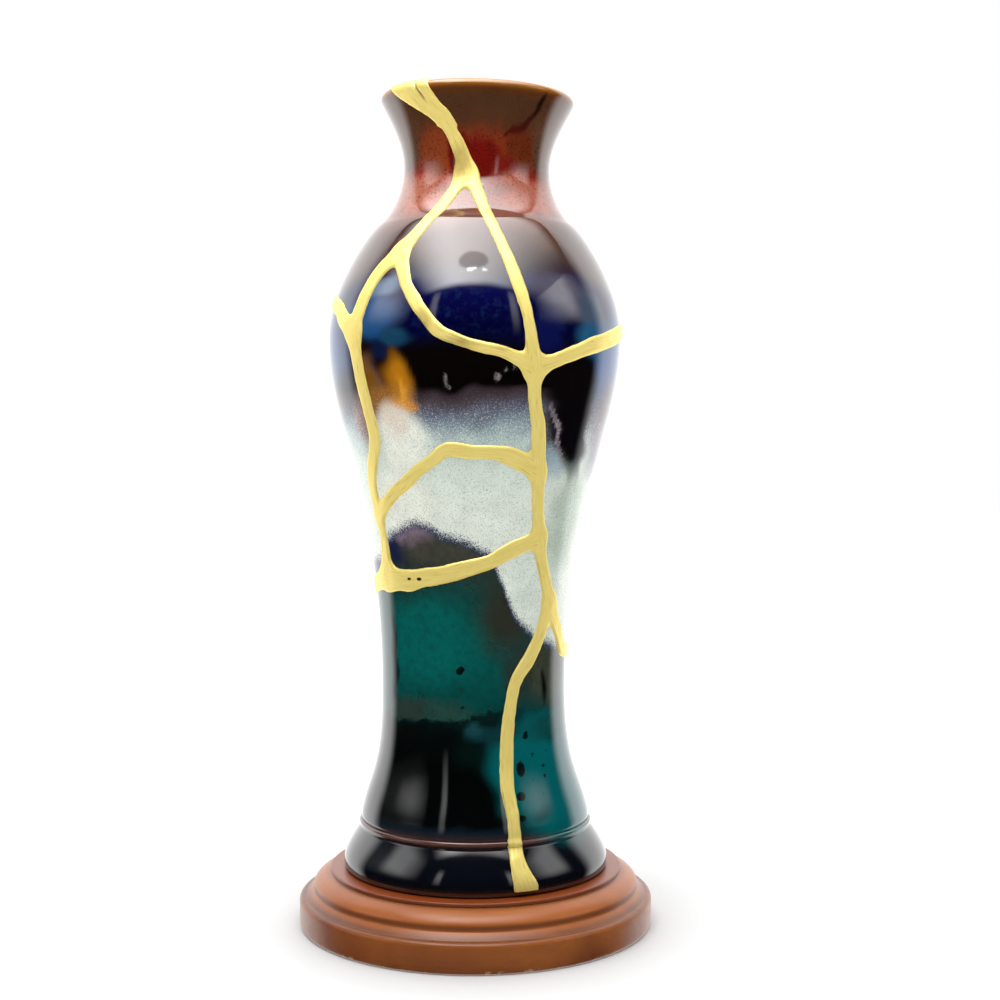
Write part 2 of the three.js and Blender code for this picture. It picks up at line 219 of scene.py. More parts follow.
def straight(start, end, step):
    """Points from start to end, about a step apart, without the start."""
    count = max(1, math.ceil(math.dist(start, end) / step))
    share = np.arange(1, count + 1)[:, None] / count
    return np.array(start) + share * (np.array(end) - np.array(start))


def arc(centre, radius, start, end, count):
    """centre + radius (cos a, sin a) for angles a from start to end in degrees, without the start."""
    angle = np.radians(start + (end - start) * np.arange(1, count + 1) / count)
    return np.array(centre) + radius * np.stack([np.cos(angle), np.sin(angle)], axis=1)


def bend(points, count):
    """Bezier curve from its first point to its last, pulled by those between, without the start."""
    share = np.arange(1, count + 1)[:, None] / count
    order = len(points) - 1
    return sum(
        math.comb(order, k) * share**k * (1 - share) ** (order - k) * np.array(point)
        for k, point in enumerate(points)
    )


def way(slope):
    """One millimetre along a wall that leans out of upright by slope."""
    return np.array([math.sin(math.radians(slope)), math.cos(math.radians(slope))])


def between(low, high, step):
    """The cubic from one station up to the next, along each one's slope for its share of the rise."""
    rise = high[1] - low[1]
    start, end = np.array(low[:2]), np.array(high[:2])
    leave = start + way(low[2]) * low[4] * rise
    arrive = end - way(high[2]) * high[3] * rise
    return bend([start, leave, arrive, end], max(4, math.ceil(rise / step)))


LIP_CENTRE = (LIP_RADIUS - WALL / 2, VASE_TOP - WALL / 2)
LIP_JOIN = np.array(LIP_CENTRE) + WALL / 2 * np.array([way(LIP_SLOPE)[1], -way(LIP_SLOPE)[0]])
LIP_STATION = (LIP_JOIN[0], LIP_JOIN[1], LIP_SLOPE, 0.24, 0)


def outside(step, with_bead):
    """The outside's meridian from the foot's edge up and over the lip. The gold's own has no bead."""
    foot = (FOOT_RADIUS, FOOT_ROUND + FOOT_UPRIGHT, 0, 0, 0.27)
    band = (BAND_RADIUS, BAND_TOP, -BAND_SLOPE, 0.4, 0)
    skirt = (SKIRT_RADIUS, BAND_TOP + 2 * BEAD_ROUND, 0, 0, 0.5)
    points = [
        np.array([[FOOT_RADIUS, FOOT_ROUND]]),
        straight((FOOT_RADIUS, FOOT_ROUND), foot[:2], step),
        between(foot, band, step),
    ]
    if with_bead:
        points.append(arc((BAND_RADIUS, BAND_TOP + BEAD_ROUND), BEAD_ROUND, -90, 90, 10))
    points.append(straight(points[-1][-1], skirt[:2], step))
    stations = [skirt, *STATIONS, LIP_STATION]
    points += [between(low, high, step) for low, high in zip(stations, stations[1:])]
    points.append(arc(LIP_CENTRE, WALL / 2, -LIP_SLOPE, 180 - LIP_SLOPE, 14))
    return np.concatenate(points)


def lining(step):
    """The inside's meridian from the lip to the floor's middle, a wall's thickness in."""
    inner = []
    for radius, height, slope, below, above in [*STATIONS, LIP_STATION]:
        across = WALL * np.array([-way(slope)[1], way(slope)[0]])
        inner.append((radius + across[0], height + across[1], slope, below, above))
    rising = [between(low, high, step) for low, high in zip(inner, inner[1:])]
    wall = np.concatenate([np.array([inner[0][:2]]), *rising])[::-1][1:]
    corner = (inner[0][0] - INNER_CORNER, FLOOR_TOP + INNER_CORNER)
    return np.concatenate([
        wall,
        straight(wall[-1], (inner[0][0], corner[1]), step),
        arc(corner, INNER_CORNER, 0, -90, 6),
        straight((corner[0], FLOOR_TOP), (0, FLOOR_TOP), 8),
    ])


def thrown(points):
    """The places of points on a perfectly turned vase after the thrower's drift and the lip's tilt.

    x moves by the drift at that height, and z by -x tan(tilt) - settle, growing smoothly up the neck.
    """
    moved = points.copy()
    height = points[:, 2] - PLINTH_HEIGHT
    moved[:, 0] += np.interp(height, *np.transpose(DRIFT))
    share = smooth((height - TILT_FROM) / (VASE_TOP - TILT_FROM))
    moved[:, 2] += share * (-points[:, 0] * math.tan(math.radians(LIP_TILT)) - LIP_SETTLE)
    return moved


def ring_point(azimuth, radius, height):
    """(r sin a, -r cos a, z) for an azimuth a in radians from the front."""
    return np.stack([radius * np.sin(azimuth), -radius * np.cos(azimuth), height], axis=-1)


def make_mesh(name, points, faces, smooth_faces=True):
    """An object at the origin from points in mm and rows of four corners (the last -1 in a triangle)."""
    mesh = bpy.data.meshes.new(name)
    counts = np.where(faces[:, 3] < 0, 3, 4)
    corners = faces[faces >= 0]
    mesh.vertices.add(len(points))
    mesh.loops.add(len(corners))
    mesh.polygons.add(len(faces))
    mesh.vertices.foreach_set("co", (points * MM).astype(np.float32).ravel())
    mesh.loops.foreach_set("vertex_index", corners.astype(np.int32))
    starts = np.concatenate([[0], np.cumsum(counts)[:-1]])
    mesh.polygons.foreach_set("loop_start", starts.astype(np.int32))
    mesh.polygons.foreach_set("use_smooth", np.full(len(faces), smooth_faces))
    mesh.update(calc_edges=True)
    mesh.validate()
    piece = bpy.data.objects.new(name, mesh)
    bpy.context.scene.collection.objects.link(piece)
    return piece


def revolve(profile, sides):
    """A closed surface of revolution: each profile point off the axis is a ring, each end on it a pole.

    The profile runs with the solid on its left, from the lower pole to the upper one. Returns the
    points, the faces and the azimuth of every point.
    """
    azimuth = np.linspace(-np.pi, np.pi, sides, endpoint=False)
    rings = profile[1:-1]
    heights = np.repeat(rings[:, 1:], sides, axis=1)
    points = ring_point(azimuth[None, :], rings[:, :1], heights).reshape(-1, 3)
    poles = np.array([[0, 0, profile[0, 1]], [0, 0, profile[-1, 1]]])
    row, column = np.meshgrid(np.arange(len(rings) - 1), np.arange(sides), indexing="ij")
    after = (column + 1) % sides
    quads = np.stack([
        row * sides + column, row * sides + after, (row + 1) * sides + after, (row + 1) * sides + column,
    ], axis=-1).reshape(-1, 4)
    side = np.arange(sides)
    following = (side + 1) % sides
    low, high = len(points), len(points) + 1
    last = (len(rings) - 1) * sides
    none = np.full(sides, -1)
    bottom = np.stack([following, side, np.full(sides, low), none], axis=1)
    top = np.stack([last + side, last + following, np.full(sides, high), none], axis=1)
    azimuths = np.concatenate([np.tile(azimuth, len(rings)), [0, 0]])
    return np.concatenate([points, poles]), np.concatenate([quads, bottom, top]), azimuths


# The gold's field: for every node of a grid over the wall, how far it lies outside the gold

SMOOTH_OUTSIDE = outside(step=0.25, with_bead=False)
SMOOTH_WALL = np.concatenate([SMOOTH_OUTSIDE, lining(step=0.5)])
WALL_STEPS = np.linalg.norm(np.diff(SMOOTH_WALL, axis=0), axis=1)
WALL_LENGTH = np.concatenate([[0], np.cumsum(WALL_STEPS)])
TAPE = (WALL_LENGTH[len(SMOOTH_OUTSIDE) - 1] - math.pi * WALL / 4) / 100


def on_wall(tape):
    """Radius and height at a tape on the smooth meridian, and the outward normal there."""
    length = tape * TAPE
    place = [np.interp(length, WALL_LENGTH, SMOOTH_WALL[:, k]) for k in (0, 1)]
    ahead = [np.interp(length + 0.3, WALL_LENGTH, SMOOTH_WALL[:, k]) for k in (0, 1)]
    back = [np.interp(length - 0.3, WALL_LENGTH, SMOOTH_WALL[:, k]) for k in (0, 1)]
    along = np.array([ahead[0] - back[0], ahead[1] - back[1]])
    along = along / np.linalg.norm(along, axis=0)
    return place[0], place[1], along[1], -along[0]


def curve_through(places, steps):
    """Catmull-Rom curve through the places, in steps to a leg: an array [legs, steps + 1, 3]."""
    points = np.array(places, dtype=float)
    padded = np.concatenate([2 * points[:1] - points[1:2], points, 2 * points[-1:] - points[-2:-1]])
    t = np.linspace(0, 1, steps + 1)[None, :, None]
    before, start, end, after = (padded[k:len(padded) - 3 + k, None] for k in range(4))
    return 0.5 * (
        2 * start + (end - before) * t + (2 * before - 5 * start + 4 * end - after) * t**2
        + (3 * start - before - 3 * end + after) * t**3
    )


def blend_smallest(one, other, reach):
    """The smaller of two distances, rounded off where they differ by less than reach."""
    near = np.clip(1 - np.abs(one - other) / reach, 0, None)
    return np.minimum(one, other) - near * near * reach / 4


def chosen(values, nearest):
    """Along the last axis of values, the one that nearest names."""
    return np.take_along_axis(values, nearest, axis=2)[..., 0]


def bead_rise(tape):
    """The bead over the foot's band as a hump of height over the smooth meridian."""
    middle = np.interp(BAND_TOP + BEAD_ROUND, SMOOTH_WALL[:200, 1], WALL_LENGTH[:200])
    return BEAD_ROUND * np.exp(-(((tape * TAPE - middle) / 1.2) ** 2))


class GoldField:
    """Distance outside the gold in mm, and the brush's own coordinates, at every node of a grid."""

    def __init__(self):
        self.columns = round(2 * np.pi * GRID_RADIUS / GRID_STEP)
        self.rows = round(GRID_END * TAPE / GRID_STEP)
        self.azimuth = np.linspace(-np.pi, np.pi, self.columns, endpoint=False)
        self.tape = np.linspace(GRID_START, GRID_END, self.rows)
        self.radius = on_wall(self.tape)[0]
        self.distance = np.full((self.rows, self.columns), FAR)
        self.along = np.zeros_like(self.distance)
        self.across = np.zeros_like(self.distance)

    def window(self, places, reach):
        """Rows and columns (wrapped round) of the nodes within reach of a few places."""
        low, high = places[:, 1].min() - reach / TAPE, places[:, 1].max() + reach / TAPE
        rows = np.flatnonzero((self.tape >= low) & (self.tape <= high))
        narrowest = self.radius[rows].min()
        first, last = (np.radians(edge) for edge in (places[:, 0].min(), places[:, 0].max()))
        middle, half = (first + last) / 2, (last - first) / 2 + reach / narrowest
        gap = (self.azimuth - middle + np.pi) % (2 * np.pi) - np.pi
        return rows, np.flatnonzero(np.abs(gap) <= half)

    def add_crack(self, places):
        """Joins a crack: for every node the least of (distance to a segment - half its width there)."""
        reach = SEAM_WIDTH + WEB + 2
        crack = np.full_like(self.distance, FAR)
        start_length = 0.0
        for leg in curve_through(places, 8):
            rows, columns = self.window(leg, reach)
            radius = self.radius[rows][:, None, None]
            start, end = leg[:-1], leg[1:]
            turn = self.azimuth[columns][None, :, None] - np.radians(start[:, 0])
            x = ((turn + np.pi) % (2 * np.pi) - np.pi) * radius
            y = (self.tape[rows][:, None, None] - start[:, 1]) * TAPE
            step_x = np.radians(end[:, 0] - start[:, 0]) * radius
            step_y = (end[:, 1] - start[:, 1]) * TAPE
            length = np.hypot(step_x, step_y)
            share = np.clip((x * step_x + y * step_y) / length**2, 0, 1)
            off = np.hypot(x - share * step_x, y - share * step_y)
            half = (start[:, 2] + share * (end[:, 2] - start[:, 2])) * SEAM_WIDTH / 2
            outside_by = off - half
            nearest = outside_by.argmin(axis=2)[..., None]
            best = chosen(outside_by, nearest)
            lengths = np.concatenate([[0], np.cumsum(length.mean(axis=(0, 1)))])
            travelled = start_length + lengths[nearest[..., 0]] + chosen(share * length, nearest)
            side = chosen(np.sign(x * step_y - y * step_x) * off, nearest)
            block = np.ix_(rows, columns)
            closer = best < crack[block]
            crack[block] = np.where(closer, best, crack[block])
            wins = best < self.distance[block]
            self.along[block] = np.where(wins & closer, travelled, self.along[block])
            self.across[block] = np.where(wins & closer, side, self.across[block])
            start_length += lengths[-1]
        self.distance = blend_smallest(self.distance, crack, WEB)

    def add_lip_patch(self):
        """Joins the patch: how far a node lies outside its left and right edges and its ends."""
        azimuth, tape, width = np.transpose(LIP_PATCH)
        centre = np.radians(np.interp(self.tape, tape, azimuth))[:, None]
        half = np.interp(self.tape, tape, width)[:, None] * SEAM_WIDTH / 2
        aside = (self.azimuth[None, :] - centre) * self.radius[:, None]
        sides = (np.abs(aside) - half) * 0.74
        ends = np.maximum(tape[0] - self.tape, self.tape - tape[-1])[:, None] * TAPE
        patch = np.maximum(sides, ends)
        wins = patch < self.distance
        self.along = np.where(wins, self.tape[:, None] * TAPE, self.along)
        self.across = np.where(wins, aside, self.across)
        self.distance = blend_smallest(self.distance, patch, WEB)

    def parting(self):
        """Millimetres right of the line where the patch's strokes part, and how far they part, 0 to 1."""
        azimuth, tape = np.transpose(STROKE_PARTING)
        line = np.radians(np.interp(self.tape, tape, azimuth))[:, None]
        aside = (self.azimuth[None, :] - line) * self.radius[:, None]
        within = smooth((self.tape - tape[0]) / 1.4) * smooth((tape[-1] + 0.8 - self.tape) / 0.8)
        return aside, within[:, None]


def gold_relief(field):
    """Height of the gold over the glaze.

    Inside, proud x (1 - (1 - t)^2.4) with t the distance in from the edge over the shoulder, so the
    edge is round, with low swells and a groove where the lip's strokes part. Outside it dives into
    the glaze.
    """
    azimuth, tape = np.meshgrid(field.azimuth, field.tape)
    height = tape * TAPE
    edge, swell = (
        sum(high * ripple(azimuth, height, length, seed) for length, high, seed in waves)
        for waves in (EDGE_RIPPLES, SWELLS)
    )
    edge = field.distance + edge
    inward = np.clip(-edge / (2 * GOLD_SHOULDER), 0, 1)
    aside, within = field.parting()
    groove = GROOVE_DEPTH * within * np.exp(-((aside / GROOVE_REACH) ** 2))
    ridge = RIDGE_HEIGHT * within * np.exp(-(((aside + RIDGE_LEFT) / RIDGE_REACH) ** 2))
    crest = GOLD_PROUD * (1 - (1 - inward) ** 2.4) + np.minimum(inward, 1) * (swell - groove + ridge)
    crest = np.minimum(crest, GOLD_PROUD + CREST_SPARE)
    bedded = -np.clip(edge * 1.3, 0, GOLD_BED)
    return edge, np.where(edge < 0, crest, bedded) + bead_rise(tape)


def make_gold():
    """The gold as one closed shell: its relief, the same cells bedded in the wall, and a rim between."""
    field = GoldField()
    for places in CRACKS:
        field.add_crack(places)
    field.add_lip_patch()
    edge, relief = gold_relief(field)

    after = (np.arange(field.columns) + 1) % field.columns
    row, column = np.meshgrid(np.arange(field.rows - 1), np.arange(field.columns), indexing="ij")
    cells = np.stack([
        row * field.columns + column, row * field.columns + after[column],
        (row + 1) * field.columns + after[column], (row + 1) * field.columns + column,
    ], axis=-1).reshape(-1, 4)
    cells = cells[edge.ravel()[cells].min(axis=1) < 0]
    used, cells = np.unique(cells, return_inverse=True)
    cells = cells.reshape(-1, 4)

    radius, height, out, up = (values[:, None] for values in on_wall(field.tape))
    azimuth = np.broadcast_to(field.azimuth[None, :], edge.shape)
    lifted = ring_point(azimuth, radius + out * relief, height + up * relief)
    depth = 1.4 * GOLD_BED
    bedded = ring_point(azimuth, radius - out * depth, np.broadcast_to(height - up * depth, edge.shape))
    top, bottom = (layer.reshape(-1, 3)[used] for layer in (lifted, bedded))
    points = np.concatenate([top, bottom])
    points[:, 2] += PLINTH_HEIGHT

    sides = np.concatenate([cells[:, [k, (k + 1) % 4]] for k in range(4)])
    key = np.sort(sides, axis=1) @ np.array([len(used), 1])
    _, first, count = np.unique(key, return_index=True, return_counts=True)
    rim = sides[first[count == 1]]
    walls = np.stack([rim[:, 1], rim[:, 0], rim[:, 0] + len(used), rim[:, 1] + len(used)], axis=1)
    faces = np.concatenate([cells, cells[:, ::-1] + len(used), walls])
    piece = make_mesh("gilded_seams", thrown(points), faces)

    brush = np.stack([field.along, field.across], axis=-1).reshape(-1, 2)[used]
    stroke = np.concatenate([brush, brush]) * MM
    layer = piece.data.attributes.new("stroke", "FLOAT2", "POINT")
    layer.data.foreach_set("vector", stroke.astype(np.float32).ravel())
    # Attributes for painted marks: the dark room mirrored in the gold, and shade in the strokes' parting
    aside, within = field.parting()
    level = np.broadcast_to(height + PLINTH_HEIGHT, edge.shape)
    gold_painted_reflection = spots(GOLD_PAINTED_REFLECTIONS, azimuth, level, np.broadcast_to(radius, edge.shape))
    for name, values in (("parting_painted_shade", within * np.exp(-((aside / 0.45) ** 2))), ("gold_painted_reflection", gold_painted_reflection)):
        layer = piece.data.attributes.new(name, "FLOAT", "POINT")
        layer.data.foreach_set("value", np.tile(values.ravel()[used], 2).astype(np.float32))
    return piece


def make_plinth():
    """The turned plinth: a profile of flats, an ogee, a bevel and rounds, with every arris eased."""
    cap, step, bevel, base = 52.4, 58.3, 61.2, PLINTH_RADIUS
    eased = 0.45
    profile = [
        np.array([[0, 0], [base - 2, 0]]),
        bend([(base - 2, 0), (base, 0), (base, 1.6)], 6),
        straight((base, 1.6), (base, 8.8), 2.4),
        bend([(base, 8.8), (base, 10.6), (bevel, 10.6)], 10),
        bend([(bevel, 10.6), (bevel - 0.3, 10.75), (bevel - 0.7, 11.1)], 3),
        straight((bevel - 0.7, 11.1), (step + 0.3, 12.6), 1),
        bend([(step + 0.3, 12.6), (step, 12.8), (step, 13.3)], 3),
        straight((step, 13.3), (step, 14.5), 0.6),
        bend([(step, 14.5), (step, 15.0), (step - 0.25, 15.4)], 3),
        bend([(step - 0.25, 15.4), (56.5, 17.9), (cap - 0.5, 19.1)], 14),
        bend([(cap - 0.5, 19.1), (cap - 0.3, 19.3), (cap, 19.4)], 3),
        straight((cap, 19.4), (cap, PLINTH_HEIGHT - eased), 0.5),
        arc((cap - eased, PLINTH_HEIGHT - eased), eased, 0, 90, 5),
        straight((cap - eased, PLINTH_HEIGHT), (46.0, PLINTH_HEIGHT), 3),
        np.array([[0, PLINTH_HEIGHT]]),
    ]
    points, faces, _ = revolve(np.concatenate(profile), sides=224)
    return make_mesh("turned_plinth", points, faces)


def make_vase():
    """The vase: foot ring, wall, lip, lining and floor as one closed surface, with its glaze fields."""
    edge = FOOT_RADIUS - FOOT_ROUND
    under = [
        np.array([[0, FOOT_RECESS]]),
        straight((0, FOOT_RECESS), (RING_INSIDE, FOOT_RECESS), 12),
        straight((RING_INSIDE, FOOT_RECESS), (RING_INSIDE, 0), 1.5),
        straight((RING_INSIDE, 0), (edge, 0), 3),
        arc((edge, FOOT_ROUND), FOOT_ROUND, -90, 0, 6),
    ]
    outer = np.concatenate([*under, outside(step=1.15, with_bead=True)[1:]])
    sides = 256
    points, faces, azimuth = revolve(np.concatenate([outer, lining(step=3.2)]), sides)
    height = points[:, 2].copy()
    radius = np.hypot(points[:, 0], points[:, 1])
    points[:, 2] += PLINTH_HEIGHT
    piece = make_mesh("glazed_vase", thrown(points), faces)
    over_the_lip = 8
    inside = np.arange(len(points)) // sides >= len(outer) - over_the_lip
    paint_glaze(piece, azimuth, height, radius, inside)
    return piece


# The glazes. Heights are over the floor that the plinth stands on.

def linear(code):
    """The linear red, green and blue of an sRGB colour such as #1f4a52."""
    channels = np.array([int(code[k:k + 2], 16) for k in (1, 3, 5)]) / 255
    return np.where(channels <= 0.04045, channels / 12.92, ((channels + 0.055) / 1.055) ** 2.4)


# The upper glazes as they ran together in the firing: colours by height, from the lip down. The dark
# brown from 292.8 to 282 mm is the glaze's own brown, deepened by painted shade under the lip.
UPPER_BANDS = [
    (297.5, "#b07a34"), (294.6, "#8c5818"), (292.8, "#4c260e"), (290, "#402818"), (282, "#442818"),
    (278, "#702c16"), (274, "#7c160a"), (266, "#80180c"), (262, "#8c3422"), (257, "#8c4c3c"),
    (250, "#6c4438"), (243, "#4c342c"), (236, "#3c2a26"), (230, "#2c2028"), (226, "#16143a"),
    (222, "#06063a"), (213, "#020228"), (209, "#020326"), (206, "#050514"), (203, "#060303"),
    (191.2, "#040202"), (190, "#2e2429"), (186.5, "#3c333a"), (183.5, "#464658"), (180, "#64707c"),
    (175, "#94a3a2"), (167, "#bcc6bb"), (150, "#cdd3c7"), (120, "#ced4c8"), (90, "#c6cec1"),
]
# Under the edge of the pour, the copper glazes
COPPER_BANDS = [
    (150, "#5b4a5c"), (145, "#3c3540"), (139, "#2f302c"), (130, "#2b322c"), (122, "#123a36"),
    (112, "#03443f"), (98, "#024a46"), (84, "#033f3c"), (74, "#04302e"),
]
# Below their ragged lower edge, the black glaze of the foot
FOOT_BANDS = [
    (84, "#06201f"), (74, "#030808"), (60, "#020303"), (43, "#020405"), (40, "#14202a"),
    (38.2, "#3b2522"), (37, "#5d3c34"), (36, "#0a0d14"), (26, "#070a12"), (23.2, "#0a0a10"),
    (21.6, "#3a2114"), (20.5, "#2c1a12"),
]
# The lining by height: the glaze's brown at the lip, darkened downward to near black by painted shade
# inside the vase
LINING_WITH_PAINTED_SHADE = [(300, "#8a5a2c"), (288, "#4a2c1c"), (240, "#2a1a14"), (20, "#15100e")]

# Splashes in a glaze: azimuth, height, half width and half height in mm, lean in degrees, how soft
# the edge is from 0 to 1, colour
UPPER_SPLASHES = [
    # The neck, and the salmon flush under it
    (-68, 277, 12, 12, 0, 0.8, "#4c3424"), (74, 276, 18, 12, 0, 0.8, "#4e3424"),
    (-30, 272, 7, 9, 8, 0.7, "#703218"), (34, 273, 6, 9, -8, 0.6, "#58240e"),
    (17, 273, 2.6, 8, 0, 0.7, "#6c2a12"), (-12, 271, 4, 8, 0, 0.5, "#560a08"),
    (3, 270, 7, 8, 0, 0.5, "#5e0d09"), (24, 266, 5, 5, 20, 0.6, "#64150e"),
    (-38, 258, 12, 6, 10, 0.8, "#a4604c"), (36, 258, 12, 6, -10, 0.8, "#a05c4a"),
    (0, 259, 12, 3, 0, 0.8, "#7c4c40"), (-80, 258, 14, 8, 0, 0.8, "#9c6c5c"),
    (84, 258, 14, 8, 0, 0.8, "#9a6a5a"),
    # A thin dark line on the neck's right, slanting down towards the front
    (43.5, 290, 1.2, 3.0, 0, 0.9, "#1c0b06"), (43, 286.4, 1.1, 2.6, -35, 0.9, "#1c0b06"),
    (38, 284, 1.0, 3.4, -62, 0.9, "#2a0e08"), (32, 282, 1.0, 3.4, -66, 0.9, "#360e08"),
    (26, 280, 1.0, 3.4, -66, 0.9, "#420e08"),
    # Shoulder: the fringe on the left, the fold and the amber run on the right
    (-39, 244.5, 11, 2.2, 32, 0.6, "#3a221c"), (-36, 236, 4, 2.4, 20, 0.7, "#1c1413"),
    (37, 242, 4.5, 5, -30, 0.7, "#4b2f1e"), (-66, 236, 14, 9, 20, 0.9, "#54443e"),
    (66, 236, 16, 11, -20, 0.9, "#4e403c"),
    # Cobalt: milky where the titanium floated, teal towards the sides
    (-38, 224, 9, 3, 10, 0.9, "#5c6a80"), (-44, 214, 13, 7, 5, 0.8, "#16406c"),
    (-30, 208, 6, 3.5, 0, 0.8, "#12364e"), (38, 222, 12, 6, -12, 0.9, "#4c4856"),
    (52, 217, 8, 5, -20, 0.9, "#3c4858"), (28, 210, 6, 7, -10, 0.7, "#080c3c"),
    (55, 207, 10, 7, -10, 0.8, "#1d4f70"), (-84, 205, 26, 11, 0, 1.0, "#123a70"),
    (86, 205, 26, 12, 0, 1.0, "#184678"),
    # Black below the cobalt, with the amber run on the left
    (-47, 197, 6, 11, 0, 0.6, "#100a08"), (-38, 204, 4, 3.5, 0, 0.7, "#0a1230"),
    (-44, 190, 6, 10, 5, 0.8, "#66483f"), (-50, 181, 7, 8, 0, 0.8, "#84685e"),
    (-31, 200, 3.2, 4, 8, 1.0, "#4a2c08"), (-43, 191, 3.4, 9, 4, 1.0, "#64400e"),
    (-35, 190, 2.4, 8, 6, 1.0, "#5a3408"), (-37, 187, 7, 4, 0, 1.0, "#7c4e12"),
    (-29, 191.5, 4.8, 9.5, 8, 1.0, "#9a620c"), (-27, 185.5, 5, 3, 0, 0.7, "#b8761c"),
    (-28, 189, 1.2, 5, 14, 0.9, "#c08216"), (-31, 173, 10, 10, 0, 0.9, "#d3d5c8"),
    (-34, 181, 5, 5, 0, 0.9, "#c6baaa"),
    # Black to the right of the long seam, with its tongue and its mauve thread
    (34, 176, 6, 9, 0, 0.9, "#38343f"), (36, 166, 8, 6, 0, 0.9, "#8496a0"),
    (43, 192, 13.5, 9, 0, 0.6, "#070405"), (45, 180, 10, 9, 10, 0.5, "#060406"),
    (49, 171, 6.5, 10, 20, 0.5, "#060407"), (67, 195, 9, 13, 8, 1.0, "#16467a"),
    (54, 161, 4, 8, 14, 0.6, "#0c0c16"), (57, 152, 2.4, 6, 8, 0.7, "#20222e"),
    (38, 176, 0.8, 10, 26, 0.8, "#6a5662"), (74, 182, 13, 12, 0, 1.0, "#4c3a44"),
    (78, 170, 12, 9, 0, 1.0, "#6a5e6c"),
    # Pale below, warmer on the left
    (-38, 152, 12, 12, 0, 0.9, "#d8dacd"), (40, 135, 12, 26, 0, 0.9, "#c6cec3"),
    (54, 146, 9, 16, 0, 0.9, "#a8b4a6"),
]
COPPER_SPLASHES = [
    (-37, 143, 10, 4, 0, 0.8, "#766472"), (-46, 136, 4, 5, 10, 0.8, "#151a3a"),
    (-38, 134, 2, 6, 0, 0.8, "#22242c"), (-14, 137, 16, 6, 0, 0.9, "#3a3a32"),
    (25, 116, 12, 15, -20, 0.9, "#292b22"), (34, 94, 9, 12, 0, 0.9, "#22302c"),
    (-28, 104, 17, 14, 0, 0.9, "#02544f"), (-55, 96, 2.0, 20, 0, 0.5, "#020d0d"),
    (-80, 100, 12, 26, 0, 0.9, "#0d3a3a"), (56, 94, 12, 12, 0, 0.8, "#363a2e"),
    (49, 88, 1.5, 6, 0, 0.5, "#0a0908"), (-20, 80, 12, 4, 0, 0.8, "#1f3f38"),
    (-44, 80, 9, 4, 0, 0.8, "#26352e"),
]
FOOT_SPLASHES = [
    (3, 68, 7, 8, 0, 0.9, "#03120f"), (19, 62, 5, 16, 0, 0.8, "#043230"),
    (56, 58, 28, 23, 0, 0.35, "#025558"), (60, 74, 16, 5, 0, 0.8, "#083f40"),
    (36, 45.5, 5, 2, 10, 0.9, "#06484a"), (12, 74, 9, 3, 0, 0.9, "#0a3034"),
    (2, 76, 4, 2, 0, 0.9, "#123c40"), (84, 60, 12, 18, 0, 0.8, "#014b4e"),
]
# Iron spots in the foot's glaze and in the copper: azimuth, height, half width, half height
IRON_SPOTS = [
    (33, 72, 1.3, 1.5), (28, 61, 1.7, 2.9), (26, 52, 1.9, 1.6), (25, 45, 1.6, 1.1), (37, 65, 0.8, 0.8),
    (44, 61, 0.7, 0.8), (44, 57.5, 0.8, 0.7), (41, 69, 0.7, 0.7), (-7, 95, 1.7, 1.7),
    (-5.5, 83, 1.1, 1.0), (35, 57, 0.6, 0.6), (48, 66, 0.6, 0.6), (-6, 89, 0.7, 0.7),
    (40, 52, 0.6, 0.6), (31, 66, 0.6, 0.6),
]
# Milky flecks that broke through the black band
MILK_FLECKS = [
    (-10, 193.8, 0.9, 2.6), (9.5, 194.6, 1.4, 1.7), (12.5, 197, 0.8, 1.0), (16, 198.5, 0.7, 2.0),
    (-8.5, 191, 0.7, 0.9),
]
# The lower edge of the upper glazes: [azimuth, height]
POUR_EDGE = [
    (-180, 121), (-150, 112), (-120, 124), (-95, 136), (-75, 132), (-62, 133), (-54, 139), (-49, 141),
    (-39, 144.5), (-29, 146.5), (-21, 145), (-16, 142.5), (-5, 141), (2, 138.5), (10, 135.5), (14, 130),
    (19, 122.5), (24, 116), (29, 112), (41, 106), (52, 104), (70, 101), (95, 108), (125, 118),
    (155, 110), (180, 121),
]
# The ragged edge between the copper glazes and the foot's black
FOOT_EDGE = [
    (-180, 84), (-120, 76), (-50, 77), (-26, 78), (-7, 78.5), (11, 81), (30, 82), (53, 79.5), (110, 75),
    (180, 84),
]


def bands(stops, height):
    """The colour at each height: straight lines in linear light between a glaze's stops."""
    heights = [stop[0] for stop in stops][::-1]
    colours = np.array([linear(stop[1]) for stop in stops][::-1])
    return np.stack([np.interp(height, heights, colours[:, k]) for k in range(3)], axis=1)


def ellipse(azimuth, height, radius, middle, size, lean=0):
    """1 at the rim of an ellipse on the wall, 0 at its middle and more outside it."""
    turn = (azimuth - math.radians(middle[0]) + np.pi) % (2 * np.pi) - np.pi
    x, y = turn * radius, height - middle[1]
    cosine, sine = math.cos(math.radians(lean)), math.sin(math.radians(lean))
    return np.hypot((x * cosine + y * sine) / size[0], (y * cosine - x * sine) / size[1])


def splashed(colours, splashes, azimuth, height, radius):
    """Each splash laid over the colours, full inside its ellipse and fading out over its soft share."""
    for turn, level, wide, high, lean, soft, code in splashes:
        far = ellipse(azimuth, height, radius, (turn, level), (wide, high), lean)
        share = smooth((1 + soft / 2 - far) / soft)[:, None]
        colours = colours + share * (linear(code) - colours)
    return colours


def spots(places, azimuth, height, radius):
    """Millimetres inside the nearest spot, negative outside."""
    inside = [
        (1 - ellipse(azimuth, height, radius, (turn, level), (wide, high))) * min(wide, high)
        for turn, level, wide, high in places
    ]
    return np.max(inside, axis=0)


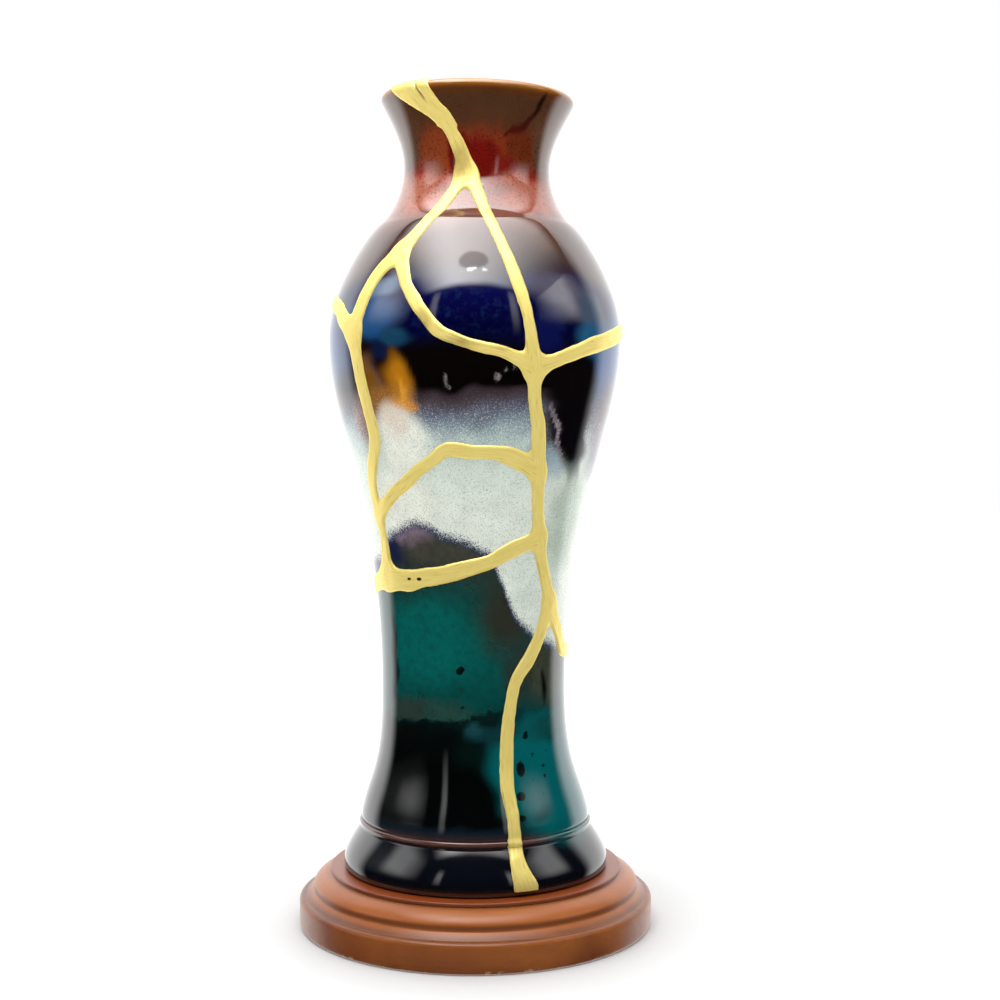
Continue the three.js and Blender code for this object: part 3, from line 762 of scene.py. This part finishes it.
def paint_glaze(piece, azimuth, height, radius, inside):
    """Writes the glaze's washes as colours, and its edges as distances in mm, on the vase's points."""
    level = height + PLINTH_HEIGHT
    degrees = np.degrees(azimuth)
    warped_azimuth = azimuth + 0.03 * ripple(azimuth, level, 11, 11)
    warped = level + 1.5 * ripple(azimuth, level, 26, 12) + 0.9 * ripple(azimuth, level, 8, 13)
    near_ends = smooth((level - 286) / 6) + smooth((44 - level) / 4)
    warped = warped + np.minimum(near_ends, 1) * (level - warped)
    where = (warped_azimuth, warped, radius)

    washes = {
        "upper": splashed(bands(UPPER_BANDS, warped), UPPER_SPLASHES, *where),
        "copper": splashed(bands(COPPER_BANDS, warped), COPPER_SPLASHES, *where),
        "foot": splashed(bands(FOOT_BANDS, warped), FOOT_SPLASHES, *where),
    }
    # The lining's colours carry painted shade inside the vase
    washes["upper"][inside] = bands(LINING_WITH_PAINTED_SHADE, level)[inside]
    fields = {
        "pour": np.interp(degrees, *np.transpose(POUR_EDGE)) - level,
        "ebb": np.interp(degrees, *np.transpose(FOOT_EDGE)) - level,
        "iron": spots(IRON_SPOTS, azimuth, level, radius),
        "milk": spots(MILK_FLECKS, azimuth, level, radius),
    }
    attributes = piece.data.attributes
    for name, colours in washes.items():
        layer = attributes.new(name, "FLOAT_COLOR", "POINT")
        rows = np.column_stack([colours, np.ones(len(colours))])
        layer.data.foreach_set("color", rows.astype(np.float32).ravel())
    for name, values in fields.items():
        layer = attributes.new(name, "FLOAT", "POINT")
        layer.data.foreach_set("value", np.where(inside, -FAR, values).astype(np.float32))


# Materials

def add_node(tree, kind, inputs=(), output=0, **settings):
    """Adds a node with its settings, and its inputs set to values or linked; gives one of its outputs."""
    node = tree.nodes.new("ShaderNode" + kind)
    for name, value in settings.items():
        setattr(node, name, value)
    for name, value in dict(inputs).items():
        if isinstance(value, bpy.types.NodeSocket):
            tree.links.new(value, node.inputs[name])
        else:
            node.inputs[name].default_value = value
    return node.outputs[output] if len(node.outputs) else node


def new_material(name):
    """An empty material, and the function that adds nodes to its tree."""
    material = bpy.data.materials.new(name)
    material.use_nodes = True
    material.node_tree.nodes.clear()
    return material, functools.partial(add_node, material.node_tree)


def colour(code):
    """An sRGB colour code as a socket's linear colour, opaque."""
    return (*linear(code), 1.0)


def fired_glaze():
    """Reactive stoneware glaze, poured in layers and fired: glassy and deep, and it ran in the kiln.

    The eye gets sharp reflections, colours that melt into each other, and fine crystals and pinholes.
    """
    material, add = new_material("reactive_stoneware_glaze")
    place = add("TexCoord", output="Object")
    level = add("SeparateXYZ", {0: place}, output="Z")
    grain = add("TexNoise", {"Vector": place, "Scale": 1 / (2.6 * MM), "Detail": 3.0, "Roughness": 0.7})
    upper, copper, foot = (
        add("Attribute", output="Color", attribute_name=name) for name in ("upper", "copper", "foot")
    )
    pour, ebb, iron, milk = (
        add("Attribute", output="Fac", attribute_name=name) for name in ("pour", "ebb", "iron", "milk")
    )

    # Crystals of about 0.4 mm, blue-green and white, in the pale glaze and thinning out above it
    crystals = add("TexNoise", {
        "Vector": place, "Scale": 1 / (0.42 * MM), "Detail": 1.0, "Roughness": 0.6})
    pale = add("MapRange", {
        "Value": level, "From Min": 0.196, "From Max": 0.172}, interpolation_type="SMOOTHSTEP")
    light = add("RGBToBW", {0: upper})
    light = add("MapRange", {"Value": light, "From Min": 0.015, "From Max": 0.06})
    thicker = add("MapRange", {"Value": level, "From Min": 0.166, "From Max": 0.178, "To Min": 0.2})
    bluish = add("MapRange", {"Value": crystals, "From Min": 0.55, "From Max": 0.66, "To Max": 0.5})
    whitish = add("MapRange", {"Value": crystals, "From Min": 0.48, "From Max": 0.32, "To Max": 0.42})

    # Dark pinholes of half a millimetre in the red of the neck and shoulder, and a mist in the cobalt
    pinholes = add("TexNoise", {
        "Vector": place, "Scale": 1 / (0.8 * MM), "Detail": 2.0, "Roughness": 0.6})
    pinholes = add("MapRange", {"Value": pinholes, "From Min": 0.52, "From Max": 0.64, "To Max": 0.55})
    reds = add("MapRange", {
        "Value": level, "From Min": 0.243, "From Max": 0.258}, interpolation_type="SMOOTHSTEP")
    under_lip = add("MapRange", {"Value": level, "From Min": 0.284, "From Max": 0.276})
    mist = add("MapRange", {"Value": grain, "From Min": 0.5, "From Max": 0.8, "To Max": 0.1})
    above_black = add("MapRange", {"Value": level, "From Min": 0.205, "From Max": 0.214})
    under_brown = add("MapRange", {"Value": level, "From Min": 0.232, "From Max": 0.224})

    # The flecks that broke through the black, ragged by the grain and the crystals
    for noise in (crystals, grain):
        milk = add("Math", {0: noise, 1: 1.6, 2: milk}, operation="MULTIPLY_ADD")
    milk = add("MapRange", {"Value": milk, "From Min": 1.5, "From Max": 2.7, "To Max": 0.5})

    for code, share, *limits in (
        ("#557a80", bluish, pale, light),
        ("#eef0e6", whitish, thicker, pale, light),
        ("#340a04", pinholes, reds, under_lip),
        ("#3d6a94", mist, above_black, under_brown),
        ("#b0a6a8", milk),
    ):
        for limit in limits:
            share = add("Math", {0: share, 1: limit}, operation="MULTIPLY")
        upper = add("Mix", {0: share, 6: upper, 7: colour(code)}, output=2, data_type="RGBA")

    # The pour's lower edge: ragged by 2 mm of noise, with a navy fringe that breaks up into dots
    ragged = add("TexNoise", {"Vector": place, "Scale": 1 / (6 * MM), "Detail": 3.0, "Roughness": 0.6})
    pour = add("Math", {0: ragged, 1: 3.6, 2: pour}, operation="MULTIPLY_ADD")
    dotted = add("Math", {0: crystals, 1: 7.0, 2: pour}, operation="MULTIPLY_ADD")
    clouds = add("MapRange", {"Value": grain, "From Min": 0.42, "From Max": 0.66, "To Max": 0.3})
    copper = add("Mix", {0: clouds, 6: copper, 7: colour("#0a2422")}, output=2, data_type="RGBA")
    inward = add("MapRange", {
        "Value": pour, "From Min": 2.4, "From Max": 6.0}, interpolation_type="SMOOTHSTEP")
    fringe = add("Mix", {0: inward, 6: colour("#283250"), 7: copper}, output=2, data_type="RGBA")
    under = add("MapRange", {"Value": dotted, "From Min": 4.0, "From Max": 7.2})

    # The ragged upper edge of the foot's black, and the iron spots
    torn = add("TexNoise", {"Vector": place, "Scale": 1 / (4 * MM), "Detail": 4.0, "Roughness": 0.7})
    ebb = add("Math", {0: torn, 1: 9.0, 2: ebb}, operation="MULTIPLY_ADD")
    ebb = add("MapRange", {
        "Value": ebb, "From Min": 3.7, "From Max": 5.5}, interpolation_type="SMOOTHSTEP")
    iron = add("Math", {0: grain, 1: 1.2, 2: iron}, operation="MULTIPLY_ADD")
    iron = add("MapRange", {
        "Value": iron, "From Min": 0.45, "From Max": 1.0}, interpolation_type="SMOOTHSTEP")
    body = upper
    for share, glaze in ((under, fringe), (ebb, foot), (iron, colour("#03100f"))):
        body = add("Mix", {0: share, 6: body, 7: glaze}, output=2, data_type="RGBA")

    # Slow lighter and darker clouds of a centimetre, and the surface's own faint waves
    clouds = add("TexNoise", {"Vector": place, "Scale": 1 / (7 * MM), "Detail": 4.0, "Roughness": 0.6})
    clouds = add("MapRange", {
        "Value": clouds, "From Min": 0.3, "From Max": 0.7, "To Min": 0.92, "To Max": 1.08})
    body = add("HueSaturation", {"Value": clouds, "Color": body})
    waves = add("TexNoise", {"Vector": place, "Scale": 1 / (9 * MM), "Detail": 1.5, "Roughness": 0.4})
    relief = add("Bump", {"Height": waves, "Strength": 0.05, "Distance": 0.9 * MM})
    shader = add("BsdfPrincipled", {"Base Color": body, "Roughness": 0.06, "IOR": 1.75, "Normal": relief})
    add("OutputMaterial", {0: shader})
    return material


# Two pits in the lower seam, where a bubble broke: x, z and size in mm
PITS = ((-22.3, 126.2, 0.5), (-18.8, 126.3, 0.65))


def gilded_lacquer():
    """Gold powder dusted on lacquer: a soft yellow metal, brushed along the seam.

    The eye gets a satin sheen, faint long strokes, and a few olive streaks where the powder is thin.
    Olive patches painted on it are reflections of the dark room, and a dark line is painted shade in
    the groove where the lip's strokes part.
    """
    material, add = new_material("gold_powder_on_lacquer")
    place = add("TexCoord", output="Object")
    stroke = add("Attribute", output="Vector", attribute_name="stroke")
    stroke = add("Mapping", {"Vector": stroke, "Scale": (0.12, 1.6, 1.0)})
    streaks = add("TexNoise", {"Vector": stroke, "Scale": 1 / (1 * MM), "Detail": 3.0, "Roughness": 0.6})
    powder = add("TexNoise", {"Vector": place, "Scale": 1 / (0.35 * MM), "Detail": 1.0})
    clouds = add("TexNoise", {"Vector": place, "Scale": 1 / (6 * MM), "Detail": 2.0})
    worn = add("MapRange", {"Value": streaks, "From Min": 0.4, "From Max": 0.8})
    thin = add("MapRange", {"Value": streaks, "From Min": 0.62, "From Max": 0.76, "To Max": 0.6})
    # Painted reflection: olive patches where the gold would mirror the dark room
    gold_painted_reflection = add("Attribute", output="Fac", attribute_name="gold_painted_reflection")
    gold_painted_reflection = add("Math", {0: streaks, 1: 3.0, 2: gold_painted_reflection}, operation="MULTIPLY_ADD")
    gold_painted_reflection = add("MapRange", {"Value": gold_painted_reflection, "From Min": 1.4, "From Max": 4.4, "To Max": 0.75})
    # Painted shade: a dark olive line in the groove where the lip's strokes part
    parting_painted_shade = add("Attribute", output="Fac", attribute_name="parting_painted_shade")
    rich = add("MapRange", {"Value": clouds, "From Min": 0.4, "From Max": 0.7, "To Max": 0.35})
    layers = [
        (worn, "#e8ce64"), (thin, "#9c8238"), (gold_painted_reflection, "#98803c"), (parting_painted_shade, "#6c5622"), (rich, "#f6e384"),
    ]
    for x, z, size in PITS:
        off = add("VectorMath", {0: place, 1: (x * MM, 0, z * MM)}, operation="SUBTRACT")
        off = add("VectorMath", {0: off, 1: (0.7, 0, 1)}, operation="MULTIPLY")
        off = add("VectorMath", {0: off}, output="Value", operation="LENGTH")
        pit = add("MapRange", {"Value": off, "From Min": size * MM, "From Max": 0.8 * size * MM})
        layers.append((pit, "#0c0a06"))
    tone = colour("#f8e284")
    for share, code in layers:
        tone = add("Mix", {0: share, 6: tone, 7: colour(code)}, output=2, data_type="RGBA")
    rough = add("MapRange", {"Value": powder, "To Min": 0.36, "To Max": 0.48})
    relief = add("Bump", {"Height": streaks, "Strength": 0.2, "Distance": 0.06 * MM})
    relief = add("Bump", {"Height": powder, "Strength": 0.15, "Distance": 0.05 * MM, "Normal": relief})
    shader = add("BsdfPrincipled", {
        "Base Color": tone, "Metallic": 0.4, "Roughness": rough, "Normal": relief})
    add("OutputMaterial", {0: shader})
    return material


# Heights of the plinth's coves, darkened by painted shade, and its worn arrises: heights in mm, and how
# rare the chips are
SHADED_COVES = (10.9, 14.0, 19.5)
ARRISES = ((20.6, 21.49, 0.55), (-0.1, 1.5, 0.57))


def stained_wood():
    """Turned hardwood, stained reddish brown and waxed.

    The eye gets fine straight grain across the disc, a satin sheen, stain that is darker where it was
    wiped along the figure, painted shade in the coves and on the top face, mouldings painted paler as
    painted light from above, and a few chips on the arrises.
    """
    material, add = new_material("stained_turned_beech")
    place = add("TexCoord", output="Object")
    level = add("SeparateXYZ", {0: place}, output="Z")
    along = add("Mapping", {"Vector": place, "Scale": (0.07, 1.0, 1.0)})
    fibres = add("TexNoise", {"Vector": along, "Scale": 1 / (1.4 * MM), "Detail": 4.0, "Roughness": 0.6})
    along = add("Mapping", {"Vector": place, "Scale": (0.25, 1.0, 0.6)})
    figure = add("TexNoise", {"Vector": along, "Scale": 1 / (16 * MM), "Detail": 3.0, "Roughness": 0.55})
    wiped = add("MapRange", {"Value": figure, "From Min": 0.25, "From Max": 0.75})
    open_grain = add("MapRange", {"Value": fibres, "From Min": 0.5, "From Max": 0.75, "To Max": 0.24})
    # Painted light: above 13 mm the mouldings are painted paler, as if lit from the soft box above
    upper_mouldings_painted_light = add("MapRange", {
        "Value": level, "From Min": 10.5 * MM, "From Max": 13 * MM, "To Max": 0.6})
    # Painted shade: the top face under the vase is painted a darker red
    top_face_painted_shade = add("MapRange", {
        "Value": level, "From Min": 19.4 * MM, "From Max": 20.2 * MM, "To Max": 0.7})
    layers = [(wiped, "#a45a18"), (open_grain, "#4c200a"), (upper_mouldings_painted_light, "#aa5e26"), (top_face_painted_shade, "#80300e")]
    # Painted shade: each cove is darkened, fading out over 1.5 mm
    for cove in SHADED_COVES:
        off = add("Math", {0: level, 1: cove * MM}, operation="SUBTRACT")
        off = add("Math", {0: off}, operation="ABSOLUTE")
        cove_painted_shade = add("MapRange", {
            "Value": off, "From Min": 1.5 * MM, "From Max": 0.0, "To Max": 0.5,
        }, interpolation_type="SMOOTHSTEP")
        layers.append((cove_painted_shade, "#3a1606"))
    chips = add("TexNoise", {"Vector": place, "Scale": 1 / (5 * MM), "Detail": 4.0, "Roughness": 0.7})
    for low, high, rare in ARRISES:
        chipped = add("MapRange", {
            "Value": chips, "From Min": rare, "From Max": rare + 0.02, "To Max": 0.7})
        for edge, side in ((low, "GREATER_THAN"), (high, "LESS_THAN")):
            within = add("Math", {0: level, 1: edge * MM}, operation=side)
            chipped = add("Math", {0: chipped, 1: within}, operation="MULTIPLY")
        layers.append((chipped, "#c79a72"))
    tone = colour("#743408")
    for share, code in layers:
        tone = add("Mix", {0: share, 6: tone, 7: colour(code)}, output=2, data_type="RGBA")
    rough = add("MapRange", {"Value": fibres, "To Min": 0.3, "To Max": 0.42})
    relief = add("Bump", {"Height": fibres, "Strength": 0.04, "Distance": 0.1 * MM})
    shader = add("BsdfPrincipled", {"Base Color": tone, "Roughness": rough, "IOR": 1.5, "Normal": relief})
    add("OutputMaterial", {0: shader})
    return material


def glowing_paper():
    """Matt white paper that glows as painted light: dim near the plinth as a painted shadow, and as
    bright as the tent's white a hand's breadth from it.
    """
    material, add = new_material("paper_painted_glow_and_shadow")
    place = add("TexCoord", output="Object")
    # Painted light: the glow grows with distance from the plinth, leaving a painted shadow close to it
    away = add("VectorMath", {0: place}, output="Value", operation="LENGTH")
    glow = add("MapRange", {
        "Value": away, "From Min": 0.06, "From Max": 0.3, "To Min": 0.11, "To Max": 1.4})
    shader = add("BsdfPrincipled", {
        "Base Color": colour("#c4c4c4"), "Roughness": 0.7,
        "Emission Color": (1, 1, 1, 1), "Emission Strength": glow,
    })
    add("OutputMaterial", {0: shader})
    return material


# The soft box: the height and the edges of its cloth in mm, and how bright it is in its middle
BOX_HEIGHT = 560
BOX_LEFT, BOX_RIGHT = -390, 470
BOX_FRONT, BOX_BACK = -420, 110
BOX_GLOW = 7.8
# Each edge, its axis first, and where the cloth is as bright as in the middle
BOX_FADES = ((0, BOX_LEFT, -90), (0, BOX_RIGHT, -180), (1, BOX_FRONT, -350), (1, BOX_BACK, 0))
# The lamp's hub and the row of bright points in front of it: centre and half sizes in mm
HUB = ((-6, -250, BOX_HEIGHT), (75, 42))
BRIGHT_ROW = ((-4, -297, BOX_HEIGHT), (70, 12))


def soft_box_cloth():
    """White diffuser cloth with a lamp behind it: bright in its middle, and fading towards its edges.

    The lamp's hub shows through as a darker oval, with a row of bright points in front of it.
    """
    material, add = new_material("diffuser_cloth")
    place = add("TexCoord", output="Object")
    axes = add("SeparateXYZ", {0: place}, output=slice(0, 3))
    glow = BOX_GLOW
    for axis, edge, inner in BOX_FADES:
        fading = add("MapRange", {
            "Value": axes[axis], "From Min": edge * MM, "From Max": inner * MM,
        }, interpolation_type="SMOOTHSTEP")
        glow = add("Math", {0: glow, 1: fading}, operation="MULTIPLY")
    ovals = []
    for centre, (half_wide, half_deep) in (HUB, BRIGHT_ROW):
        off = add("VectorMath", {0: place, 1: [length * MM for length in centre]}, operation="SUBTRACT")
        shrink = (1 / (half_wide * MM), 1 / (half_deep * MM), 0)
        off = add("VectorMath", {0: off, 1: shrink}, operation="MULTIPLY")
        ovals.append(add("VectorMath", {0: off}, output="Value", operation="LENGTH"))
    hub = add("MapRange", {"Value": ovals[0], "From Min": 0.85, "From Max": 1.05, "To Min": 0.45})
    row = add("MapRange", {"Value": ovals[1], "From Min": 1.1, "From Max": 0.8})
    sparks = add("TexNoise", {"Vector": place, "Scale": 1 / (26 * MM), "Detail": 1.0})
    sparks = add("MapRange", {"Value": sparks, "From Min": 0.5, "From Max": 0.56, "To Max": 14.0})
    sparks = add("Math", {0: sparks, 1: row}, operation="MULTIPLY")
    glow = add("Math", {0: glow, 1: hub, 2: sparks}, operation="MULTIPLY_ADD")
    add("OutputMaterial", {0: add("Emission", {"Strength": glow})})
    return material


# The camera's place in mm, its lens in mm, and its tilt down in degrees
CAMERA_PLACE = (8.81, -571.6, 175.7)
CAMERA_LENS = 57.19
CAMERA_DOWN = 2.373


def set_camera():
    """The camera of the main picture, level but for its tilt down."""
    camera = bpy.data.cameras.new("camera")
    camera.lens = CAMERA_LENS
    camera.sensor_width = 36
    camera.clip_start = 0.01
    holder = bpy.data.objects.new("camera", camera)
    holder.location = [length * MM for length in CAMERA_PLACE]
    holder.rotation_euler = (math.radians(90 - CAMERA_DOWN), 0, 0)
    bpy.context.scene.collection.objects.link(holder)
    bpy.context.scene.camera = holder


def light_studio():
    """A white tent open to a dark room in front, with a soft box over the vase.

    In the room each light is its strength times ramps, from dark to lit: over the azimuth from the
    front to either side in degrees, and over the direction's height z or its x, both from -1 to 1.
    """
    world = bpy.data.worlds.new("studio")
    bpy.context.scene.world = world
    world.use_nodes = True
    world.node_tree.nodes.clear()
    add = functools.partial(add_node, world.node_tree)

    way_out = add("TexCoord", output="Generated")
    x, y, z = add("SeparateXYZ", {0: way_out}, output=slice(0, 3))
    forward = add("Math", {0: y, 1: -1.0}, operation="MULTIPLY")
    azimuth = add("Math", {0: x, 1: forward}, operation="ARCTAN2")
    for operation in ("DEGREES", "ABSOLUTE"):
        azimuth = add("Math", {0: azimuth}, operation=operation)
    tent = add("MapRange", {
        "Value": azimuth, "From Min": 106, "From Max": 124, "To Max": 1.7,
    }, interpolation_type="SMOOTHSTEP")

    even, soft = "LINEAR", "SMOOTHSTEP"
    lights = (
        # The lit edges of the tent's opening
        (1.3, (azimuth, 29, 31, even), (azimuth, 37, 34, even),
         (z, 0.0, 0.45, even), (z, 0.66, 0.55, even)),
        # Panels at both sides, over the horizon
        (1.6, (azimuth, 51, 72, even), (azimuth, 98, 84, soft),
         (z, 0.12, 0.46, soft), (z, 0.76, 0.64, soft)),
        # A dim wall at the far left
        (0.25, (x, -0.8, -0.93, even), (z, 0.0, 0.45, even)),
    )
    room = 0.005
    for strength, *ramps in lights:
        for across, dark, lit, easing in ramps:
            ramp = add("MapRange", {
                "Value": across, "From Min": dark, "From Max": lit}, interpolation_type=easing)
            strength = add("Math", {0: strength, 1: ramp}, operation="MULTIPLY")
        room = add("Math", {0: room, 1: strength}, operation="ADD")
    strength = add("Math", {0: tent, 1: room}, operation="MAXIMUM")
    surroundings = add("Background", {"Color": (1, 1, 1, 1), "Strength": strength})
    backdrop = add("Background", {"Color": (1, 1, 1, 1), "Strength": 1.0})
    seen = add("LightPath", output="Is Camera Ray")
    add("OutputWorld", {0: add("MixShader", {0: seen, 1: surroundings, 2: backdrop})})

    corners = [[BOX_LEFT, BOX_FRONT], [BOX_LEFT, BOX_BACK], [BOX_RIGHT, BOX_BACK], [BOX_RIGHT, BOX_FRONT]]
    cloth = np.column_stack([np.array(corners, dtype=float), np.full(4, BOX_HEIGHT)])
    box = make_mesh("soft_box", cloth, np.array([[0, 1, 2, 3]]), smooth_faces=False)
    box.data.materials.append(soft_box_cloth())
    box.visible_camera = False


def lay_floor():
    """A pale plain floor glowing with painted light, which the glazes don't mirror: under the horizon
    they mirror the dark room.
    """
    far = 3000
    corners = np.array([[-far, -far, 0], [far, -far, 0], [far, far, 0], [-far, far, 0]], dtype=float)
    floor = make_mesh("floor", corners, np.array([[0, 1, 2, 3]]), smooth_faces=False)
    floor.data.materials.append(glowing_paper())
    floor.visible_glossy = False


def dress(piece, node, material):
    """The piece stands for its CAD node, rides with it and takes its finish."""
    piece.data.materials.append(material)
    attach(piece, "root")
    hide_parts(node)


set_camera()
light_studio()
lay_floor()
dress(make_plinth(), "wood_plinth", stained_wood())
dress(make_vase(), "vase_body", fired_glaze())
dress(make_gold(), "gold_seams", gilded_lacquer())

bpy.context.scene.view_settings.view_transform = "Standard"
